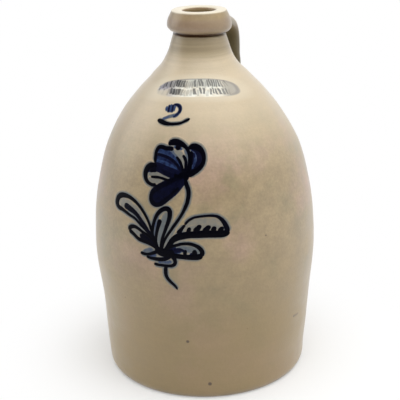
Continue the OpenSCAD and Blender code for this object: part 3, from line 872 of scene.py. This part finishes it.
# Thin slip brushed inside petals and leaves, under the strokes
WASH_STROKES = (
    # Right petal, steel blue on the left of it
    (((22, 243.4, 4), (23.4, 245, 7), (26, 245.6, 8), (28, 244, 8), (30.4, 240, 8), (30.6, 235, 8),
      (28.6, 230.4, 8), (24, 226, 6)), 0.12),
    (((23.2, 243.6, 5), (24.6, 240.4, 7), (25, 236, 7), (24, 231, 6)), 0.2),
    (((26.2, 239.4, 3), (26.8, 236, 4.2), (26.8, 232.6, 4.4), (25.6, 228.6, 3)), 0.38),
    # Upper left petal, in streaks
    (((-10.6, 242.4, 7), (-6, 243.2, 8), (-3, 242.8, 8), (3, 241.4, 8), (9, 238.4, 8), (14, 234, 5),
      (18, 227, 4)), 0.38),
    (((-11.6, 238, 8.4), (-7, 237.6, 8.6), (-3, 237, 8.6), (4, 235, 8.6), (10, 231.6, 8), (17, 225.5, 5)),
      0.3),
    (((-11.4, 233.4, 8), (-7, 233.2, 8.4), (-3, 233, 8.4), (4, 232, 8), (10, 229, 7.4), (16, 224.5, 5)),
      0.4),
    (((-9, 228.6, 6), (-2, 227.6, 6.4), (5, 225.4, 6.4), (12, 223.4, 6)), 0.1),
    # Top petal, pale with darker sides
    (((6, 244, 6), (11, 241.6, 8.4), (15.6, 238, 9), (18.6, 233, 8), (20, 227, 6)), 0.84),
    (((6, 246.6, 4), (11, 246.6, 4), (15, 244.4, 4)), 0.5),
    (((3, 245, 4), (7, 242, 6), (11, 238, 6), (15, 233, 5), (18, 228, 4)), 0.6),
    (((16.6, 246, 4), (19, 242.2, 5), (20.6, 238, 4), (21.4, 233, 2)), 0.62),
    # Lower left petal
    (((-18.4, 223.6, 5), (-15, 226, 7), (-8, 226.4, 7)), 0.16),
    (((-16.6, 226, 4), (-17, 222.6, 4), (-16.6, 219, 3)), 0.6),
    (((-15.6, 221.8, 5), (-12, 222.8, 5), (-8.6, 223.4, 6.4), (-3, 222.4, 6), (3, 221, 5), (8, 219.6, 4)),
      0.83),
    (((-16.6, 218.4, 5), (-11.6, 216.8, 7.6), (-6, 217, 7.4), (0, 217.4, 5.4)), 0.87),
    # Long leaf, paler towards its tip
    (((-48.4, 190, 4), (-46.6, 191.4, 10), (-43, 192, 13), (-38.6, 192, 14), (-33.4, 190.6, 14),
      (-28, 188.4, 12)), 0.88),
    (((-34, 190.4, 12), (-28, 188.4, 12.6), (-23, 184.6, 11), (-18.6, 180, 9), (-14.6, 175.4, 7),
      (-10, 170, 5)), 0.84),
    (((-36.6, 186.4, 4), (-31, 185, 4.4), (-26, 182.6, 5), (-21.6, 179.2, 5), (-17, 175.6, 4.6),
      (-12, 171, 4)), 0.7),
    # Short leaf
    (((-30.4, 169.6, 4.4), (-26.4, 168.8, 7), (-22.6, 167.4, 7), (-18, 166, 5.4)), 0.84),
    # Middle leaf
    (((5, 191.4, 4), (4.6, 187, 8), (3, 181, 9), (1, 175, 8.4), (-0.6, 169, 6.4), (-2, 162, 4.6),
      (-1.8, 157, 4)), 0.76),
    (((-2.4, 187.4, 4), (-4.4, 182, 5), (-5.6, 176, 5), (-6, 170, 4.4), (-5.4, 164, 3.6)), 0.62),
    # Between stem and toothed leaf
    (((14, 177.4, 3), (11.4, 173, 5), (8.4, 168.4, 5.4), (5.8, 163, 5), (3.6, 157, 4)), 0.8),
    # Toothed leaf, thickest at its root
    (((24.6, 182.4, 3), (23.6, 178.4, 4.6), (21.6, 174.4, 5)), 0.84),
    (((22.6, 179.6, 5), (28, 183, 8), (34, 183.6, 9), (40, 183.8, 9), (46, 183.4, 9), (51, 181.4, 9),
      (54, 178, 7)), 0.88),
    (((24, 175.6, 6), (32, 178, 8), (40, 178.4, 8), (48, 178, 8), (53, 176.6, 7)), 0.85),
    # Low leaf
    (((5, 155, 6), (9, 156, 8), (14, 156.6, 9), (18, 157, 9), (22, 157, 7)), 0.2),
    (((13, 157, 7), (18, 157.6, 9), (24, 158, 9.4), (29, 157.6, 9), (34, 156, 8), (38, 154, 6)), 0.68),
    (((26.6, 153, 4), (31, 153.8, 5), (35, 153.2, 4)), 0.12),
    # Between the curls
    (((-18.4, 151.2, 4), (-14, 152.4, 6), (-9, 153.8, 8), (-5, 155, 8)), 0.62),
    (((-13, 148.6, 5), (-7, 149.4, 6), (-2.6, 150.4, 7)), 0.54),
    (((-3, 143.6, 2.6), (2, 143.8, 4.6), (8, 144.6, 5.4), (12, 146, 5.4)), 0.6),
)

# The capacity numeral: its arc and filled head, and the swash under it
NUMERAL_STROKES = (
    (((-14.7, 265.7, 1.4), (-12.8, 265.4, 2.8), (-10.4, 265, 3.6), (-8, 264.4, 3.6), (-5.4, 263.8, 3),
      (-1.4, 263.6, 2.3), (3, 263.9, 2), (7.2, 264.5, 1.9), (10.4, 265.6, 1.7), (13.2, 267, 2.2),
      (16.2, 268.4, 1.4)), 0.0),
)
NUMERAL_WASH = (
    # The arc, dark at its top, and its violet foot
    (((-2.2, 278.4, 2), (0.8, 278.6, 2.8), (3, 278, 3.8), (4.8, 276.6, 4.2), (5.4, 274.8, 4.2),
      (4.9, 273, 4), (3.8, 271.4, 3.6)), 0.14),
    (((5.4, 273.8, 3.4), (4, 271.6, 3.8), (1.8, 270.2, 3.8), (-0.8, 269.4, 3)), 0.34),
    (((2.4, 270.8, 3.4), (-1.4, 269.8, 3.6), (-4.6, 268.8, 3.4), (-8, 267.4, 3.2), (-10.4, 266.4, 2.6)),
      0.58),
    # The filled head, in upright streaks
    (((-7.6, 277.4, 3.6), (-7.8, 275, 4.4), (-7, 272.6, 3.6)), 0.46),
    (((-5.6, 278.6, 3), (-5.8, 275, 4), (-5.4, 271.8, 3)), 0.2),
    (((-4, 279, 2.4), (-4, 275.4, 3.2), (-3.8, 272, 2.4)), 0.42),
    (((-2.4, 279, 3), (-2.2, 275.4, 3.8), (-2, 272, 3)), 0.2),
    (((-0.4, 278.4, 3), (-0.4, 276, 2.8), (-0.6, 273, 2.6)), 0.46),
)
SLIP_SPREAD = 0.3
# How the flower settles on the wall, in mm: to the left, down at its foot, and more so further up
SETTLE_LEFT = 0.2
SETTLE_DOWN = 0.3
SETTLE_RISE = 0.004
FLOWER_FOOT = 140
BLEED_SPREAD = 4.6
BLEED_THIN = 0.74
BLEED_THICK = 0.06
NUMERAL_BLEED = 0.6 * BLEED_SPREAD
SLIP_THICK = 0.42
WASH_THICK = 0.12
SLIP_SUNK = 0.25
HAND_STEADY = 1.2
SLIP_SIDES = 18


def stroke_course(line, cell):
    """Stations evenly spaced along a stroke's smooth middle line: place and width, and its length."""
    fine = [curve_at(line, share) for share in even(0, 1, 12 * (len(line) - 1))]
    ways = [0.0]
    for a, b in zip(fine, fine[1:]):
        ways.append(ways[-1] + math.dist(a[:2], b[:2]))
    length = ways[-1]

    def place(way):
        way = min(max(way, 0), length)
        i = min(bisect.bisect_right(ways, way), len(ways) - 1)
        t = (way - ways[i - 1]) / max(ways[i] - ways[i - 1], 1e-9)
        return Vector([p + (q - p) * t for p, q in zip(fine[i - 1], fine[i])])

    count = max(8, round(length / cell))
    course = []
    for way in even(0, length, count):
        reach = min(HAND_STEADY, way, length - way)
        course.append((place(way - reach) + 2 * place(way) + place(way + reach)) / 4)
    return course, length


def trail_slip(name, strokes, thick, material, cell, spread=0.0, soft=True, least_thin=0.0, settle=True):
    """Lays strokes on the front, each from a sheet of cells: along it by round it.

    Cell and spread, which widens every stroke, are in mm. Soft strokes thin out to their rim.
    """
    bm = bmesh.new()
    thin_layer = bm.verts.layers.float.new("thin")
    for line, thinness in strokes:
        thinness = max(thinness, least_thin)
        course, length = stroke_course(line, cell)
        last = len(course) - 1
        made = bmesh.ops.create_grid(bm, x_segments=last, y_segments=SLIP_SIDES, size=0.5)["verts"]
        for vert in made:
            share, round_share = vert.co.x + 0.5, vert.co.y + 0.5
            k = round(share * last)
            across, height, width = course[k]
            width += spread
            ahead, behind = course[min(k + 1, last)], course[max(k - 1, 0)]
            onward = Vector((ahead[0] - behind[0], ahead[1] - behind[1])).normalized()
            near = min(1, min(share, 1 - share) * length / (width / 2))
            half = width / 2 * math.sqrt(max(0, 1 - (1 - near) ** 2))
            angle = math.tau * round_share
            side = half * math.cos(angle)
            proud = thick * max(0, math.sin(angle)) ** 0.7 * min(1, 2 * near)
            if math.sin(angle) < 0:
                proud = SLIP_SUNK * math.sin(angle)
            if settle:
                across -= SETTLE_LEFT
                height -= SETTLE_DOWN + SETTLE_RISE * (height - FLOWER_FOOT)
            vert.co = on_wall((across + onward.y * side) * MM, (height - onward.x * side) * MM, proud * MM)
            rim = min(1, math.hypot(2 * side / width, 1 - near))
            fade = smooth_share(rim, 0.4, 1) * (1 - thinness) if soft else 0.15 * rim ** 8
            vert[thin_layer] = thinness + fade
    return finish_piece(name, bm, material)


def paint_front():
    """Flower and numeral: the strokes, the washes between them, and how they bleed into the glaze."""
    cobalt = cobalt_material()
    trail_slip("flower_strokes", FLOWER_STROKES, SLIP_THICK, cobalt, cell=0.8, spread=SLIP_SPREAD, soft=False)
    trail_slip("flower_washes", WASH_STROKES, WASH_THICK, cobalt, cell=1.0)
    trail_slip("flower_bleed", FLOWER_STROKES, BLEED_THICK, cobalt, cell=1.6, spread=BLEED_SPREAD,
               least_thin=BLEED_THIN)
    trail_slip("capacity_two", NUMERAL_STROKES, SLIP_THICK, cobalt, cell=0.7, spread=SLIP_SPREAD, soft=False,
               settle=False)
    trail_slip("capacity_washes", NUMERAL_WASH, WASH_THICK, cobalt, cell=0.5, settle=False)
    trail_slip("capacity_bleed", NUMERAL_STROKES, BLEED_THICK, cobalt, cell=1.0, spread=NUMERAL_BLEED,
               least_thin=BLEED_THIN, settle=False)


# Stage, light and camera

FLOOR_HALF = 6
FLOOR_COLOR = (0.9, 0.9, 0.89, 1)
FLOOR_ROUGHNESS = 0.9
# The floor's share of plain white, and the distances from the jug's axis between which it grows
WHITE_NEAR, WHITE_FAR, WHITE_LEAST = 0.09, 0.24, 0.35
# Light that the room gives in front of the jug, and the share of it that lights rather than shines
ROOM_FRONT = 0.2
ROOM_FILL = 0.4
HEART = Vector((0, 0, 0.2))
OVERHEAD_PLACE = Vector((0, 0, 1.7)) - 0.5 * AWAY + 0.2 * RIGHTWARD
OVERHEAD_SPAN = 2.2
OVERHEAD_POWER = 43
WINDOW_PLACE = HEART - 1.2 * RIGHTWARD + 0.2 * AWAY + Vector((0, 0, 0.65))
WINDOW_WIDE, WINDOW_TALL = 1.0, 1.4
WINDOW_POWER = 7
# Low lamps at either side: place from the foot, what they aim at, and size
SIDE_APART = 0.38
SIDE_BASE = Vector((0, 0, 0.03)) + 0.12 * AWAY
SIDE_AIM = Vector((0, 0, 0.05))
SIDE_LONG, SIDE_TALL = 0.6, 0.05
LEFT_POWER = 0.7
RIGHT_POWER = 0.4


def flat_sheet(name, half):
    bm = bmesh.new()
    bmesh.ops.create_grid(bm, x_segments=1, y_segments=1, size=half)
    mesh = bpy.data.meshes.new(name)
    bm.to_mesh(mesh)
    bm.free()
    sheet = bpy.data.objects.new(name, mesh)
    bpy.context.scene.collection.objects.link(sheet)
    return sheet


def soft_lamp(name, place, aim, wide, tall, power, shines=False):
    """A lamp that only lights the jug or, where it shines, is only mirrored in the glaze."""
    lamp = bpy.data.lights.new(name, "AREA")
    lamp.shape = "RECTANGLE"
    lamp.size, lamp.size_y = wide, tall
    lamp.energy = power
    holder = bpy.data.objects.new(name, lamp)
    holder.visible_glossy = shines
    holder.visible_diffuse = not shines
    holder.visible_camera = False
    turned = (aim - place).to_track_quat("-Z", "Y").to_matrix().to_4x4()
    holder.matrix_world = Matrix.Translation(place) @ turned
    bpy.context.scene.collection.objects.link(holder)


def floor_material():
    """Pale floor that takes the jug's shadow near by and fades to the white of the backdrop."""
    material, tree, shader = new_material("pale_floor")
    shader.inputs["Base Color"].default_value = FLOOR_COLOR
    shader.inputs["Roughness"].default_value = FLOOR_ROUGHNESS
    away = add_node(tree, "ShaderNodeVectorMath", operation="LENGTH",
                    inputs={0: object_place(tree)}).outputs["Value"]
    far = stretched(tree, away, WHITE_NEAR, WHITE_FAR, WHITE_LEAST)
    white = add_node(tree, "ShaderNodeEmission")
    path = add_node(tree, "ShaderNodeLightPath")
    seen = maths(tree, "MAXIMUM", path.outputs["Is Camera Ray"], path.outputs["Is Glossy Ray"])
    mix = add_node(tree, "ShaderNodeMixShader",
                   inputs={0: times(tree, far, seen), 1: shader.outputs[0], 2: white.outputs[0]})
    tree.links.new(mix.outputs[0], tree.nodes["Material Output"].inputs["Surface"])
    return material


def light_room():
    """A white room, dimmer in front of the jug than behind it, and dimmer as light than as a mirror image."""
    world = bpy.data.worlds.new("studio")
    bpy.context.scene.world = world
    world.use_nodes = True
    tree = world.node_tree
    ground = tree.nodes["Background"]
    ground.inputs["Color"].default_value = (1, 1, 1, 1)
    path = add_node(tree, "ShaderNodeLightPath")
    way = add_node(tree, "ShaderNodeTexCoord").outputs["Generated"]
    behind = add_node(tree, "ShaderNodeVectorMath", operation="DOT_PRODUCT",
                      inputs={0: way, 1: BRIGHT_WALL}).outputs["Value"]
    room = stretched(tree, behind, -0.5, 0.4, ROOM_FRONT, 1.0)
    mirrored = maths(tree, "MAXIMUM", path.outputs["Is Glossy Ray"], path.outputs["Is Transmission Ray"])
    given = times(tree, room, maths(tree, "MULTIPLY_ADD", mirrored, 1 - ROOM_FILL, ROOM_FILL))
    tree.links.new(maths(tree, "MAXIMUM", path.outputs["Is Camera Ray"], given), ground.inputs["Strength"])


def set_stage():
    floor = flat_sheet("floor", FLOOR_HALF)
    floor.data.materials.append(floor_material())
    light_room()
    soft_lamp("overhead", OVERHEAD_PLACE, HEART, OVERHEAD_SPAN, OVERHEAD_SPAN, OVERHEAD_POWER)
    soft_lamp("left_window", WINDOW_PLACE, HEART, WINDOW_WIDE, WINDOW_TALL, WINDOW_POWER, shines=True)
    for name, side, power in (("left_side", -1, LEFT_POWER), ("right_side", 1, RIGHT_POWER)):
        soft_lamp(name, SIDE_BASE + side * SIDE_APART * RIGHTWARD, SIDE_AIM, SIDE_LONG, SIDE_TALL, power)


def set_camera():
    camera = bpy.data.cameras.new("camera")
    camera.lens = VIEW_LENS
    camera.sensor_width = 36
    camera.clip_start, camera.clip_end = 0.01, 20
    forward = AWAY * math.cos(VIEW_PITCH) - Vector((0, 0, math.sin(VIEW_PITCH)))
    level_up = AWAY * math.sin(VIEW_PITCH) + Vector((0, 0, math.cos(VIEW_PITCH)))
    right = RIGHTWARD * math.cos(VIEW_ROLL) + level_up * math.sin(VIEW_ROLL)
    up = level_up * math.cos(VIEW_ROLL) - RIGHTWARD * math.sin(VIEW_ROLL)
    place = RIGHTWARD * VIEW_SIDE - AWAY * VIEW_DISTANCE + Vector((0, 0, VIEW_HEIGHT))
    holder = bpy.data.objects.new("camera", camera)
    turned = Matrix((right, up, -forward)).transposed().to_4x4()
    holder.matrix_world = Matrix.Translation(place) @ turned
    bpy.context.scene.collection.objects.link(holder)
    bpy.context.scene.camera = holder


bpy.context.scene.view_settings.view_transform = "Standard"
set_camera()
throw_body()
tool_collar()
pull_handle()
paint_front()
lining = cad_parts["slip_lining"]
lining.data.materials.clear()
lining.data.materials.append(slip_material())
set_stage()
